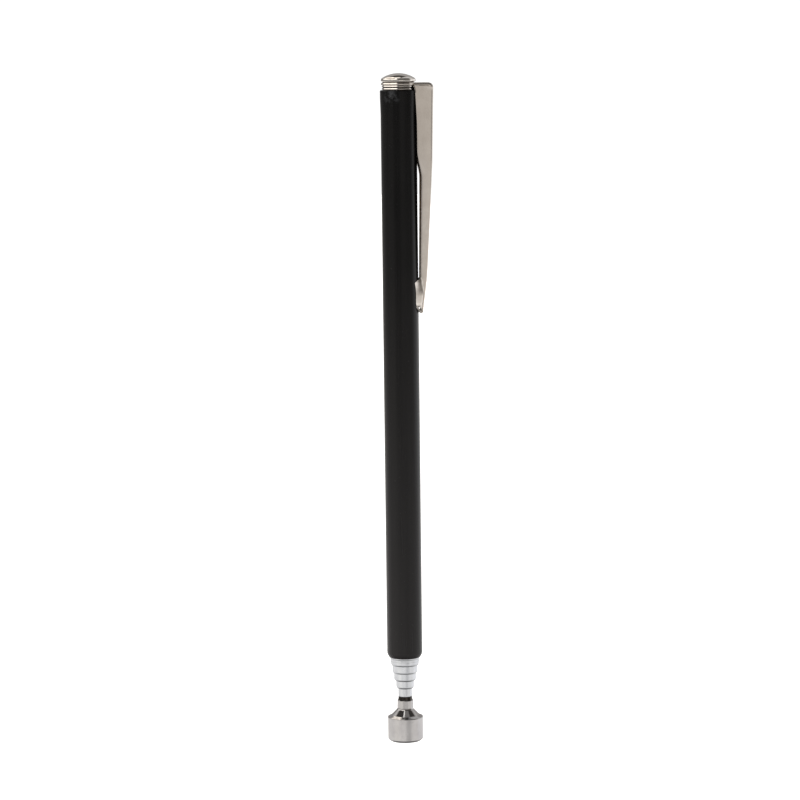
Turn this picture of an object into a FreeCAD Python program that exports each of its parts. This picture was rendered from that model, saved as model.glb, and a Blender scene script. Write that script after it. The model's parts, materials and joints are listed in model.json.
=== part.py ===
import FreeCAD, Part
import math
import os

import Sketcher

# Telescoping magnetic pickup tool, pen style.
#
# The pen's axis is Z, with +Z towards the domed cap, and the origin is the centre of the magnet's
# flat face. The pocket clip is on the +X side. All sizes are in millimetres, with the tool closed.

SECTIONS = 5

# Driving dimensions: name and size.
DRIVING_SIZES = [
    ("overall_length", 130.0),
    # handle tube and the bush in its mouth
    ("handle_dia", 6.9),
    ("handle_wall", 0.4),
    ("handle_mouth_height", 16.6),
    ("handle_top_height", 126.8),
    ("handle_flare", 0.1),
    ("handle_flare_length", 4.5),
    ("handle_edge_round", 0.3),
    ("mouth_roll_length", 1.15),
    ("mouth_roll_depth", 0.45),
    ("mouth_opening_dia", 5.84),
    ("bush_nose_dia", 5.8),
    ("bush_tip_dia", 5.58),
    ("bush_nose_length", 0.75),
    ("bush_length", 5.0),
    # telescoping sections
    ("section_1_dia", 5.4),
    ("section_2_dia", 4.8),
    ("section_3_dia", 4.2),
    ("section_4_dia", 3.4),
    ("section_5_dia", 2.6),
    ("section_wall", 0.16),
    ("section_length", 103.6),
    ("section_1_mouth_height", 15.0),
    ("section_stagger", 1.55),
    ("section_lip_length", 0.45),
    ("section_lip_edge", 0.12),
    ("running_gap", 0.04),
    ("fit_gap", 0.01),
    ("end_gap", 0.05),
    # friction sleeves and stop plugs in the sections' inner ends
    ("sleeve_length", 5.0),
    ("sleeve_gap", 0.02),
    ("sleeve_slot_angle", 24.0),
    ("bead_length", 0.6),
    ("bead_rise", 0.08),
    ("stop_flange_thickness", 0.35),
    ("stop_stem_length", 1.15),
    # stack on the handle's top end
    ("end_plug_length", 7.75),
    ("stem_dia", 1.98),
    ("stem_length", 7.2),
    ("ferrule_dia", 6.4),
    ("ferrule_groove_dia", 6.1),
    ("ferrule_length", 0.95),
    ("ferrule_band_start", 0.35),
    ("ferrule_band_width", 0.3),
    ("cap_dia", 6.66),
    ("cap_neck_dia", 6.1),
    ("cap_neck_length", 0.2),
    ("cap_dome_height", 1.05),
    # pocket clip, pressed from one piece of sheet steel
    ("clip_sheet", 0.45),
    ("clip_hole_dia", 2.1),
    ("clip_seam", 0.05),
    ("clip_reach", 6.56),
    ("clip_bend_radius", 1.0),
    ("clip_knee_reach", 6.28),
    ("clip_knee_height", 113.5),
    ("clip_heel_reach", 5.08),
    ("clip_heel_height", 91.0),
    ("clip_toe_reach", 4.2),
    ("clip_toe_height", 84.0),
    ("clip_cheek_top_reach", 2.5),
    ("clip_cheek_reach", 3.26),
    ("clip_cheek_low_height", 115.2),
    ("clip_cheek_step_length", 5.2),
    ("clip_wing_reach", 4.15),
    ("clip_wing_low_reach", 3.82),
    ("clip_flap_reach", 2.45),
    ("clip_flap_top_height", 89.8),
    ("clip_flap_rise", 0.8),
    ("clip_flap_low_height", 85.1),
    ("clip_top_width", 4.2),
    ("clip_knee_width", 3.9),
    ("clip_heel_width", 2.8),
    ("clip_flap_width", 4.8),
    ("clip_toe_width", 3.8),
    ("clip_handle_gap", 0.08),
    # magnet and its turned holder
    ("head_dia", 6.95),
    ("head_cup_height", 4.72),
    ("head_rim_round", 0.16),
    ("head_cone_low_dia", 5.0),
    ("head_cone_low_height", 5.28),
    ("head_cone_top_height", 6.25),
    ("head_neck_dia", 3.2),
    ("head_neck_taper", 0.16),
    ("head_neck_edge_height", 7.95),
    ("head_neck_top_dia", 2.5),
    ("head_neck_top_height", 8.74),
    ("head_spigot_length", 4.3),
    ("head_bottom_chamfer", 0.3),
    ("magnet_dia", 5.8),
    ("magnet_height", 3.5),
]


def size(name):
    """A driving dimension as it is written in an expression."""
    return "Sizes." + name


def plus(*terms):
    return "(" + " + ".join(terms) + ")"


def minus(first, second):
    return "(" + first + " - " + second + ")"


def half(term):
    return "(" + term + " / 2)"


def radius_of(name):
    """Half of a driving diameter or width."""
    return half(size(name))


def tangent_radius(across, along):
    """Radius of an arc that leaves a wall tangentially and moves by across over the length along."""
    return "((%s ^ 2 + %s ^ 2) / (2 * %s))" % (across, along, across)


def make_sheet(doc):
    sheet = doc.addObject("Spreadsheet::Sheet", "Sizes")
    for row, (name, number) in enumerate(DRIVING_SIZES, start=1):
        sheet.set("A%d" % row, name)
        sheet.set("B%d" % row, str(number))
        sheet.setAlias("B%d" % row, name)
    doc.recompute()
    return sheet


# ---------------------------------------------------------------- sketches

def origin_plane(body, role):
    for feature in body.Origin.OriginFeatures:
        if feature.Role == role:
            return feature
    raise RuntimeError("no origin plane " + role)


def arc_between(start, end, radius, hollow):
    """An arc from start to end: its centre lies to the right of the way, or to the left if hollow."""
    chord = end - start
    rise = math.sqrt(max(radius ** 2 - chord.Length ** 2 / 4, 0.0))
    across = FreeCAD.Vector(chord.y, -chord.x, 0).normalize()
    if hollow:
        across = across * -1
    centre = start + chord * 0.5 + across * rise
    circle = Part.Circle(centre, FreeCAD.Vector(0, 0, 1), radius)
    first, last = (start, end) if hollow else (end, start)
    first_angle = math.atan2(first.y - centre.y, first.x - centre.x)
    last_angle = math.atan2(last.y - centre.y, last.x - centre.x)
    return Part.ArcOfCircle(circle, first_angle, last_angle)


def draw_outline(sketch, corners):
    """Draw a closed outline, clockwise, and bind every corner and arc radius to the sheet.

    A corner is (across, up), both expressions, and the side after it is straight. With a third
    item that side is an arc of that radius, and with a fourth, "hollow", the arc curves inwards.
    """
    sheet = sketch.Document.getObject("Sizes")
    points = []
    for corner in corners:
        across = float(sheet.evalExpression(corner[0]))
        up = float(sheet.evalExpression(corner[1]))
        points.append(FreeCAD.Vector(across, up, 0))
    start_end = []
    for index, corner in enumerate(corners):
        start = points[index]
        end = points[(index + 1) % len(points)]
        if len(corner) == 2:
            side = sketch.addGeometry(Part.LineSegment(start, end), False)
            start_end.append((side, 1, 2))
            continue
        hollow = len(corner) == 4
        radius = float(sheet.evalExpression(corner[2]))
        side = sketch.addGeometry(arc_between(start, end, radius, hollow), False)
        start_end.append((side, 1, 2) if hollow else (side, 2, 1))
    for index, (side, start, end) in enumerate(start_end):
        following, next_start, unused = start_end[(index + 1) % len(start_end)]
        sketch.addConstraint(Sketcher.Constraint("Coincident", side, end, following, next_start))
    for index, corner in enumerate(corners):
        side, start, unused = start_end[index]
        if len(corner) > 2:
            bind(sketch, "Radius", (side,), corner[2])
        bind_or_pin(sketch, "DistanceX", side, start, corner[0], points[index].x)
        bind_or_pin(sketch, "DistanceY", side, start, corner[1], points[index].y)


def bind(sketch, kind, picks, expression):
    number = float(sketch.evalExpression(expression))
    constraint = sketch.addConstraint(Sketcher.Constraint(kind, *picks, number))
    sketch.setExpression("Constraints[%d]" % constraint, expression)


def bind_or_pin(sketch, kind, side, point, expression, number):
    """Bind a corner's coordinate to its expression, or pin it to the axis where it is zero."""
    origin_point = (-1, 1)
    vertical_axis = -2
    horizontal_axis = -1
    if abs(number) > 1e-9:
        bind(sketch, kind, origin_point + (side, point), expression)
        return
    axis = vertical_axis if kind == "DistanceX" else horizontal_axis
    sketch.addConstraint(Sketcher.Constraint("PointOnObject", side, point, axis))


def turned_body(doc, label, corners, angle="360"):
    """A body turned about the pen's axis from its half outline of (radius, height) corners."""
    body = doc.addObject("PartDesign::Body", label)
    body.Label = label
    sketch = body.newObject("Sketcher::SketchObject", label + "_outline")
    sketch.AttachmentSupport = [(origin_plane(body, "XZ_Plane"), "")]
    sketch.MapMode = "FlatFace"
    draw_outline(sketch, corners)
    doc.recompute()
    turning = body.newObject("PartDesign::Revolution", label + "_turning")
    turning.Profile = sketch
    turning.ReferenceAxis = (sketch, ["V_Axis"])
    turning.Midplane = True
    turning.setExpression("Angle", angle)
    sketch.Visibility = False
    body.Tip = turning
    doc.recompute()
    return body


# ---------------------------------------------------------------- handle

def handle_radius():
    return radius_of("handle_dia")


def handle_bore():
    return minus(handle_radius(), size("handle_wall"))


def make_handle_tube(doc):
    """Drawn tube, its top end flared a little and its mouth spun in."""
    top = size("handle_top_height")
    mouth = size("handle_mouth_height")
    flared = plus(handle_radius(), size("handle_flare"))
    roll_start = plus(mouth, size("mouth_roll_length"))
    roll_radius = tangent_radius(size("mouth_roll_depth"), size("mouth_roll_length"))
    opening = radius_of("mouth_opening_dia")
    return turned_body(doc, "handle_tube", [
        (handle_bore(), top),
        (minus(flared, size("handle_edge_round")), top, size("handle_edge_round")),
        (flared, minus(top, size("handle_edge_round"))),
        (handle_radius(), minus(top, size("handle_flare_length"))),
        (handle_radius(), roll_start, roll_radius),
        (minus(handle_radius(), size("mouth_roll_depth")), mouth),
        (opening, mouth),
        (opening, plus(mouth, half(size("mouth_roll_length")))),
        (handle_bore(), roll_start),
    ])


def make_mouth_bush(doc):
    """Guide bush inside the mouth: its nose shows below the spun edge, its shoulder holds it in."""
    mouth = size("handle_mouth_height")
    nose_end = minus(mouth, size("bush_nose_length"))
    nose = radius_of("bush_nose_dia")
    barrel = minus(handle_bore(), size("fit_gap"))
    bore = plus(radius_of("section_1_dia"), size("running_gap"))
    shoulder = plus(mouth, size("mouth_roll_length"), size("fit_gap"))
    nose_edge = size("section_lip_edge")
    tip = radius_of("bush_tip_dia")
    return turned_body(doc, "mouth_bush", [
        (bore, plus(nose_end, size("bush_length"))),
        (barrel, plus(nose_end, size("bush_length"))),
        (barrel, shoulder),
        (nose, plus(mouth, half(size("mouth_roll_length")))),
        (nose, minus(mouth, nose_edge)),
        (tip, nose_end),
        (bore, nose_end),
    ])


def make_end_plug(doc):
    """Plug pressed in the handle's top end, drilled for the cap's stem."""
    top = minus(size("handle_top_height"), size("end_gap"))
    bottom = minus(top, size("end_plug_length"))
    outside = minus(handle_bore(), size("fit_gap"))
    hole = plus(radius_of("stem_dia"), size("fit_gap"))
    return turned_body(doc, "end_plug", [
        (hole, top),
        (outside, top),
        (outside, bottom),
        ("0", bottom),
        ("0", plus(bottom, half(size("stem_dia")))),
        (hole, plus(bottom, size("stem_dia"))),
    ])


def make_end_ferrule(doc):
    """Grooved ring between the handle's top edge and the clip's ring."""
    bottom = size("handle_top_height")
    top = plus(bottom, size("ferrule_length"))
    groove = radius_of("ferrule_groove_dia")
    band = radius_of("ferrule_dia")
    band_bottom = plus(bottom, size("ferrule_band_start"))
    band_top = plus(band_bottom, size("ferrule_band_width"))
    hole = plus(radius_of("stem_dia"), size("fit_gap"))
    band_round = half(size("ferrule_band_width"))
    return turned_body(doc, "end_ferrule", [
        (hole, top),
        (groove, top),
        (groove, band_top),
        (minus(band, band_round), band_top, band_round),
        (band, plus(band_bottom, band_round), band_round),
        (minus(band, band_round), band_bottom),
        (groove, band_bottom),
        (groove, bottom),
        (hole, bottom),
    ])


def clip_plate_bottom():
    return plus(size("handle_top_height"), size("ferrule_length"))


def clip_plate_top():
    return plus(clip_plate_bottom(), size("clip_sheet"))


def make_top_cap(doc):
    """Domed cap with a thin neck above the clip's ring and a stem down into the end plug."""
    seat = clip_plate_top()
    rim_bottom = plus(seat, size("cap_neck_length"))
    apex = size("overall_length")
    rim_top = minus(apex, size("cap_dome_height"))
    rim = radius_of("cap_dia")
    neck = radius_of("cap_neck_dia")
    stem = radius_of("stem_dia")
    dome = tangent_radius(size("cap_dome_height"), rim)
    return turned_body(doc, "top_cap", [
        ("0", apex, dome),
        (rim, rim_top),
        (rim, rim_bottom),
        (neck, rim_bottom),
        (neck, seat),
        (stem, seat),
        (stem, minus(seat, size("stem_length"))),
        ("0", minus(seat, size("stem_length"))),
    ])


# ---------------------------------------------------------------- telescoping sections

def section_radius(number):
    return radius_of("section_%d_dia" % number)


def section_bore(number):
    """Inside radius of a section, or of the handle as number 0."""
    if number == 0:
        return handle_bore()
    return minus(section_radius(number), size("section_wall"))


def section_mouth(number):
    return "(%s - %d * %s)" % (size("section_1_mouth_height"), number - 1, size("section_stagger"))


def section_top(number):
    return plus(section_mouth(number), size("section_length"))


def make_section_tube(doc, number):
    """Drawn tube: a rolled bead holds its sleeve, and its mouth is rolled in over the next one."""
    outside = section_radius(number)
    bore = section_bore(number)
    mouth = section_mouth(number)
    top = section_top(number)
    bead_top = minus(top, plus(size("sleeve_length"), size("end_gap"), size("end_gap")))
    bead_arc = tangent_radius(size("bead_rise"), half(size("bead_length")))
    last = number == SECTIONS
    lip = bore if last else plus(section_radius(number + 1), size("running_gap"))
    lip_corner = plus(lip, size("section_lip_edge"))
    lip_depth = minus(outside, lip_corner)
    lip_arc = tangent_radius(lip_depth, size("section_lip_length"))
    corners = [
        (bore, top),
        (outside, top),
        (outside, bead_top, bead_arc),
        (outside, minus(bead_top, size("bead_length"))),
        (outside, plus(mouth, size("section_lip_length")), lip_arc),
        (lip_corner, mouth),
        (lip, mouth),
    ]
    if not last:
        corners.append((lip, plus(mouth, size("section_lip_edge"))))
        corners.append((bore, plus(mouth, size("section_lip_length"))))
    return turned_body(doc, "section_tube_%d" % number, corners)


def make_friction_sleeve(doc, number):
    """Split spring sleeve in the gap between a section and the bore it slides in."""
    inside = plus(section_radius(number), size("sleeve_gap"))
    outside = minus(section_bore(number - 1), size("sleeve_gap"))
    top = minus(section_top(number), size("end_gap"))
    bottom = minus(top, size("sleeve_length"))
    return turned_body(doc, "friction_sleeve_%d" % number, [
        (inside, top),
        (outside, top),
        (outside, bottom),
        (inside, bottom),
    ], angle=minus("360", size("sleeve_slot_angle")))


def make_stop_plug(doc, number):
    """Flanged plug in a section's inner end, which keeps the sleeve on and closes the tube."""
    flange = plus(section_radius(number), size("bead_rise"))
    stem = minus(section_bore(number), size("fit_gap"))
    seat = section_top(number)
    top = plus(seat, size("stop_flange_thickness"))
    bottom = minus(seat, size("stop_stem_length"))
    return turned_body(doc, "stop_plug_%d" % number, [
        ("0", top),
        (flange, top),
        (flange, seat),
        (stem, seat),
        (stem, bottom),
        ("0", bottom),
    ])


# ---------------------------------------------------------------- magnet head

def make_magnet_holder(doc):
    """Turned head: spigot in the last section, neck, flared cone and the cup for the magnet."""
    spigot = minus(section_bore(SECTIONS), size("fit_gap"))
    neck_top = size("head_neck_top_height")
    neck = radius_of("head_neck_dia")
    outside = radius_of("head_dia")
    rim = size("head_rim_round")
    chamfer = size("head_bottom_chamfer")
    pocket = plus(radius_of("magnet_dia"), size("fit_gap"))
    pocket_top = plus(size("magnet_height"), size("fit_gap"))
    return turned_body(doc, "magnet_holder", [
        ("0", plus(neck_top, size("head_spigot_length"))),
        (spigot, plus(neck_top, size("head_spigot_length"))),
        (spigot, neck_top),
        (radius_of("head_neck_top_dia"), neck_top),
        (minus(neck, half(size("head_neck_taper"))), size("head_neck_edge_height")),
        (neck, size("head_cone_top_height")),
        (radius_of("head_cone_low_dia"), size("head_cone_low_height")),
        (minus(outside, rim), plus(size("head_cup_height"), rim), rim),
        (outside, size("head_cup_height")),
        (outside, chamfer),
        (minus(outside, chamfer), "0"),
        (pocket, "0"),
        (pocket, pocket_top),
        ("0", pocket_top),
    ])


def make_magnet(doc):
    """Button magnet, its face flush with the holder's rim."""
    outside = radius_of("magnet_dia")
    return turned_body(doc, "magnet", [
        ("0", size("magnet_height")),
        (outside, size("magnet_height")),
        (outside, "0"),
        ("0", "0"),
    ])


# ---------------------------------------------------------------- pocket clip

def plane_sketch(doc, name, rotation, corners):
    """A sketch that stands in a plane through the origin, turned by rotation."""
    sketch = doc.addObject("Sketcher::SketchObject", name)
    sketch.Placement = FreeCAD.Placement(FreeCAD.Vector(0, 0, 0), rotation)
    draw_outline(sketch, corners)
    return sketch


def side_sketch(doc, name, corners):
    """Sketch in the XZ plane: across is X, up is Z."""
    return plane_sketch(doc, name, FreeCAD.Rotation(FreeCAD.Vector(1, 0, 0), 90), corners)


def front_sketch(doc, name, corners):
    """Sketch in the YZ plane: across is Y, up is Z."""
    return plane_sketch(doc, name, FreeCAD.Rotation(0.5, 0.5, 0.5, 0.5), corners)


def extrude(doc, name, sketch, length, both_ways):
    solid = doc.addObject("Part::Extrusion", name)
    solid.Base = sketch
    solid.DirMode = "Normal"
    solid.Solid = True
    solid.Symmetric = both_ways
    solid.setExpression("LengthFwd", length)
    return solid


def upright_cylinder(doc, name, radius, bottom, height):
    cylinder = doc.addObject("Part::Cylinder", name)
    cylinder.setExpression("Radius", radius)
    cylinder.setExpression("Height", height)
    cylinder.setExpression("Placement.Base.z", bottom)
    return cylinder


def cut(doc, label, base, tool):
    remainder = doc.addObject("Part::Cut", label)
    remainder.Base = base
    remainder.Tool = tool
    remainder.Label = label
    return remainder


def make_clip_ring(doc):
    """The ring that the clip is held by, clamped under the cap."""
    disc = upright_cylinder(doc, "clip_ring_disc", radius_of("cap_dia"), clip_plate_bottom(),
                            size("clip_sheet"))
    hole = upright_cylinder(doc, "clip_ring_hole", radius_of("clip_hole_dia"), "0",
                            size("overall_length"))
    ring = cut(doc, "clip_ring", disc, hole)
    doc.recompute()
    return ring


def clip_outer_corners(inset):
    """The outer side of the clip from its top plate to its toe, moved in by inset."""
    bend = minus(size("clip_bend_radius"), inset)
    top = minus(clip_plate_top(), inset)
    return [
        (minus(size("clip_reach"), size("clip_bend_radius")), top, bend),
        (minus(size("clip_reach"), inset), minus(clip_plate_top(), size("clip_bend_radius"))),
        (minus(size("clip_knee_reach"), inset), size("clip_knee_height")),
        (minus(size("clip_heel_reach"), inset), size("clip_heel_height")),
        (minus(size("clip_toe_reach"), inset), plus(size("clip_toe_height"), inset)),
    ]


def clip_profile_corners():
    """Whole side outline of the clip: top plate, web, toe, foot flap and the wings' free edge."""
    step_across = half(minus(size("clip_wing_reach"), size("clip_cheek_reach")))
    step_along = half(size("clip_cheek_step_length"))
    step_arc = tangent_radius(step_across, step_along)
    step_low = minus(size("clip_cheek_low_height"), size("clip_cheek_step_length"))
    free_edge = [
        (size("clip_flap_reach"), size("clip_flap_low_height")),
        (size("clip_flap_reach"), size("clip_flap_top_height")),
        (size("clip_wing_low_reach"), plus(size("clip_flap_top_height"), size("clip_flap_rise"))),
        (size("clip_wing_low_reach"), plus(size("clip_heel_height"), size("clip_sheet"))),
        (size("clip_wing_reach"), step_low, step_arc, "hollow"),
        (plus(size("clip_cheek_reach"), step_across), plus(step_low, step_along), step_arc),
        (size("clip_cheek_reach"), size("clip_cheek_low_height")),
        (size("clip_cheek_top_reach"), clip_plate_bottom()),
        (size("clip_cheek_top_reach"), clip_plate_top()),
    ]
    return clip_outer_corners("0") + free_edge


def clip_inside_corners():
    """Side outline of the space inside the folded sheet, open towards the handle."""
    inward = minus(size("clip_flap_reach"), size("clip_sheet"))
    inset = size("clip_sheet")
    return clip_outer_corners(inset) + [
        (inward, plus(size("clip_flap_low_height"), inset)),
        (inward, minus(clip_plate_top(), inset)),
    ]


def clip_front_corners(inset):
    """Front outline of the clip, moved in at each side by inset."""
    top = plus(clip_plate_top(), inset)
    heel = plus(size("clip_heel_height"), size("clip_sheet"))
    levels = [
        (minus(radius_of("clip_top_width"), inset), top),
        (minus(radius_of("clip_knee_width"), inset), size("clip_knee_height")),
        (minus(radius_of("clip_heel_width"), inset), heel),
        (minus(radius_of("clip_flap_width"), inset), size("clip_flap_top_height")),
        (minus(radius_of("clip_toe_width"), inset), minus(size("clip_toe_height"), inset)),
    ]
    mirrored = [("-" + across, up) for across, up in reversed(levels)]
    return levels + mirrored


def clip_solid(doc, name, side_corners, front_corners):
    """Solid bounded by a side outline one way and by a front outline the other way."""
    side = side_sketch(doc, name + "_side_outline", side_corners)
    front = front_sketch(doc, name + "_front_outline", front_corners)
    doc.recompute()
    width = plus(size("clip_flap_width"), size("clip_sheet"))
    reach = plus(size("clip_reach"), size("clip_sheet"))
    slab = extrude(doc, name + "_side", side, width, True)
    wedge = extrude(doc, name + "_front", front, reach, False)
    shared = doc.addObject("Part::MultiCommon", name)
    shared.Shapes = [slab, wedge]
    return shared


def make_clip_arm(doc):
    """The sprung part of the clip: top plate, web, two wings and a foot shaped to the handle."""
    block = clip_solid(doc, "clip_block", clip_profile_corners(), clip_front_corners("0"))
    inside = clip_solid(doc, "clip_inside", clip_inside_corners(), clip_front_corners(size("clip_sheet")))
    folded = cut(doc, "clip_folded", block, inside)
    handle_space = upright_cylinder(
        doc, "clip_handle_space",
        plus(handle_radius(), size("handle_flare"), size("clip_handle_gap")),
        "0", plus(size("handle_top_height"), half(size("ferrule_length"))))
    ring_space = upright_cylinder(
        doc, "clip_ring_space", plus(radius_of("cap_dia"), size("clip_seam")),
        "0", plus(size("overall_length"), size("clip_sheet")))
    beside_handle = cut(doc, "clip_beside_handle", folded, handle_space)
    arm = cut(doc, "clip_arm", beside_handle, ring_space)
    doc.recompute()
    return arm


# ---------------------------------------------------------------- whole tool

def make_parts(doc):
    parts = [
        make_handle_tube(doc),
        make_mouth_bush(doc),
        make_end_plug(doc),
        make_end_ferrule(doc),
        make_clip_ring(doc),
        make_clip_arm(doc),
        make_top_cap(doc),
        make_magnet_holder(doc),
        make_magnet(doc),
    ]
    for number in range(1, SECTIONS + 1):
        parts.append(make_section_tube(doc, number))
        parts.append(make_friction_sleeve(doc, number))
        parts.append(make_stop_plug(doc, number))
    return parts


def check_document(doc, parts):
    for item in doc.Objects:
        if "Invalid" in item.State or "Error" in item.State:
            raise RuntimeError("%s did not compute: %s" % (item.Label, item.State))
    for part in parts:
        shape = part.Shape
        if shape.isNull() or not shape.isValid() or len(shape.Solids) != 1:
            raise RuntimeError("%s is not one valid solid" % part.Label)


def write_parts(parts):
    os.makedirs("parts", exist_ok=True)
    for part in parts:
        part.Shape.exportStep("parts/%s.step" % part.Label)
        box = part.Shape.BoundBox
        print("%-20s volume %8.3f  z %7.2f to %7.2f" % (part.Label, part.Shape.Volume, box.ZMin, box.ZMax))


def main():
    doc = FreeCAD.newDocument("magnetic_pickup_tool")
    make_sheet(doc)
    parts = make_parts(doc)
    doc.recompute()
    check_document(doc, parts)
    write_parts(parts)


main()
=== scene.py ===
import json
import math
from collections import namedtuple

import bmesh
import bpy
from mathutils import Matrix, Vector

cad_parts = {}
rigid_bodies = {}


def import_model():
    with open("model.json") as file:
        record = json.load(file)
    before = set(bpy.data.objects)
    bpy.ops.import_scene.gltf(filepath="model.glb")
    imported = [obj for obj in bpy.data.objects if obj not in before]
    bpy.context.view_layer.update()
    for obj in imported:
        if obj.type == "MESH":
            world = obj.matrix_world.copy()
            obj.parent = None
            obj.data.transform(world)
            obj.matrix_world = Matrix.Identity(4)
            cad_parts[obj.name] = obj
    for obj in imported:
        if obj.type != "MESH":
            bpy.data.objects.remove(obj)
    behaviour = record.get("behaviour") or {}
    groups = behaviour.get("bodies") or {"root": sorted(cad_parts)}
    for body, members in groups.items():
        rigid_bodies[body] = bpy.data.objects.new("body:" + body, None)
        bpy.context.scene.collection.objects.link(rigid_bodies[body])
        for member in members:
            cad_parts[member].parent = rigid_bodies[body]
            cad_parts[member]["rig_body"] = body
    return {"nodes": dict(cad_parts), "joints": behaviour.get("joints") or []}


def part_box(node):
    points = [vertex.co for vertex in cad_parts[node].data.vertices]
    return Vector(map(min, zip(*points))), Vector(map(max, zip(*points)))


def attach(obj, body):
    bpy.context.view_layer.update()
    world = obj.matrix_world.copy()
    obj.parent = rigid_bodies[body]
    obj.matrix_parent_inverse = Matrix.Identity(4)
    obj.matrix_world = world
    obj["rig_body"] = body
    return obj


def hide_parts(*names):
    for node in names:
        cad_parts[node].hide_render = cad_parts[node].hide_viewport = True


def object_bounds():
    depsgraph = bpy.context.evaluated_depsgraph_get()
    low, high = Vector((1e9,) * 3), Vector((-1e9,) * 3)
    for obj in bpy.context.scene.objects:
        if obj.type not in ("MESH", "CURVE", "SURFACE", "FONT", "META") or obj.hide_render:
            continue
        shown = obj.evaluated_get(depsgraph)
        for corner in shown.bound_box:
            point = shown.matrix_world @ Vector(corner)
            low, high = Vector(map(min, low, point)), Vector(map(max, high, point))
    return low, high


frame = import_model()
cad_low, cad_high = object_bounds()

# Telescoping magnetic pickup tool, pen style.
#
# The pen's axis is Z, the clip is on the +X side and the magnet's face is at z = 0. Places come
# from the CAD nodes' boxes. The sizes named below are the details that a box doesn't hold.

MM = 0.001
SECTIONS = 5
BODY_OF = {node: piece["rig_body"] for node, piece in frame["nodes"].items()}


# ---------------------------------------------------------------- meshes

TURNING_STEPS = 144
ROUNDING_STEPS = 6
ROUNDING_LEAD = 0.2
ARC_STEPS = 10
ON_AXIS = 1e-7
SHARP_ANGLE = math.radians(38)


def make_piece(name, vertices, faces, material):
    """A smooth-shaded object whose sharp corners stay sharp."""
    mesh = bpy.data.meshes.new(name)
    mesh.from_pydata(vertices, [], faces)
    mesh.validate()
    shape = bmesh.new()
    shape.from_mesh(mesh)
    bmesh.ops.recalc_face_normals(shape, faces=shape.faces)
    shape.to_mesh(mesh)
    shape.free()
    mesh.shade_smooth()
    mesh.set_sharp_from_angle(angle=SHARP_ANGLE)
    piece = bpy.data.objects.new(name, mesh)
    piece.data.materials.append(material)
    bpy.context.scene.collection.objects.link(piece)
    return piece


def stand_in(piece, node):
    """The piece stands for a CAD node and moves with its body."""
    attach(piece, BODY_OF[node])
    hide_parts(node)


def round_corner(before, here, after, rounding):
    """Points of the arc that rounds a corner, and one on the straight just past each end.

    The extra points keep smooth shading off the straight sides.
    """
    to_before = (before - here).normalized()
    to_after = (after - here).normalized()
    half_angle = to_before.angle(to_after) / 2
    setback = rounding / math.tan(half_angle)
    centre = here + (to_before + to_after).normalized() * rounding / math.sin(half_angle)
    start = here + to_before * setback
    end = here + to_after * setback
    first = math.atan2(start.y - centre.y, start.x - centre.x)
    last = math.atan2(end.y - centre.y, end.x - centre.x)
    sweep = (last - first + math.pi) % (2 * math.pi) - math.pi
    points = [start + to_before * rounding * ROUNDING_LEAD]
    for step in range(ROUNDING_STEPS + 1):
        angle = first + sweep * step / ROUNDING_STEPS
        points.append(centre + Vector((math.cos(angle), math.sin(angle))) * rounding)
    points.append(end + to_after * rounding * ROUNDING_LEAD)
    return points


def rounded_outline(corners):
    """Points of a closed outline; a corner is (radius, height) or (radius, height, rounding)."""
    places = [Vector(corner[:2]) for corner in corners]
    points = []
    for index, corner in enumerate(corners):
        if len(corner) == 2:
            points.append(places[index])
            continue
        after = places[(index + 1) % len(places)]
        points.extend(round_corner(places[index - 1], places[index], after, corner[2]))
    return points


def rolled_in(wall, height, depth, length):
    """Points of a wall that curves in by depth over the length below a height, top first."""
    radius = (depth ** 2 + length ** 2) / (2 * depth)
    points = []
    for step in range(ARC_STEPS + 1):
        down = length * math.sin(math.pi / 2 * step / ARC_STEPS)
        points.append((wall - radius + math.sqrt(radius ** 2 - down ** 2), height - down))
    return points


def turned_piece(name, corners, material):
    """A piece turned about the pen's axis from its closed half outline."""
    vertices = []
    rings = []
    for point in rounded_outline(corners):
        on_axis = point.x < ON_AXIS
        first = len(vertices)
        for step in range(1 if on_axis else TURNING_STEPS):
            angle = 2 * math.pi * step / TURNING_STEPS
            vertices.append((point.x * math.cos(angle), point.x * math.sin(angle), point.y))
        rings.append([first if on_axis else first + step for step in range(TURNING_STEPS)])
    faces = []
    for ring, following in zip(rings, rings[1:] + rings[:1]):
        for step in range(TURNING_STEPS):
            beside = (step + 1) % TURNING_STEPS
            corners_of_face = [ring[step], ring[beside], following[beside], following[step]]
            face = list(dict.fromkeys(corners_of_face))
            if len(face) > 2:
                faces.append(face)
    return make_piece(name, vertices, faces, material)


# ---------------------------------------------------------------- material nodes

def add_node(tree, kind, settings=None, inputs=None):
    """A node with its settings, and with its inputs set or linked."""
    node = tree.nodes.new(kind)
    for key, value in (settings or {}).items():
        setattr(node, key, value)
    for key, value in (inputs or {}).items():
        if isinstance(value, bpy.types.NodeSocket):
            tree.links.new(value, node.inputs[key])
        else:
            node.inputs[key].default_value = value
    return node


def new_material(name, constants):
    """A material with its shader, and the place on the object in metres."""
    material = bpy.data.materials.new(name)
    material.use_nodes = True
    tree = material.node_tree
    shader = tree.nodes["Principled BSDF"]
    for key, value in constants.items():
        shader.inputs[key].default_value = value
    place = add_node(tree, "ShaderNodeTexCoord").outputs["Object"]
    return material, tree, shader, place


def noise(tree, place, scale, detail=3.0, roughness=0.55):
    """Noise over the object; scale is the count of features per millimetre along X, Y and Z."""
    stretched = add_node(tree, "ShaderNodeMapping", {}, {
        "Vector": place, "Scale": [each / MM for each in scale]})
    texture = add_node(tree, "ShaderNodeTexNoise", {}, {
        "Vector": stretched.outputs["Vector"], "Scale": 1.0, "Detail": detail,
        "Roughness": roughness})
    return texture.outputs["Fac"]


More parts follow.
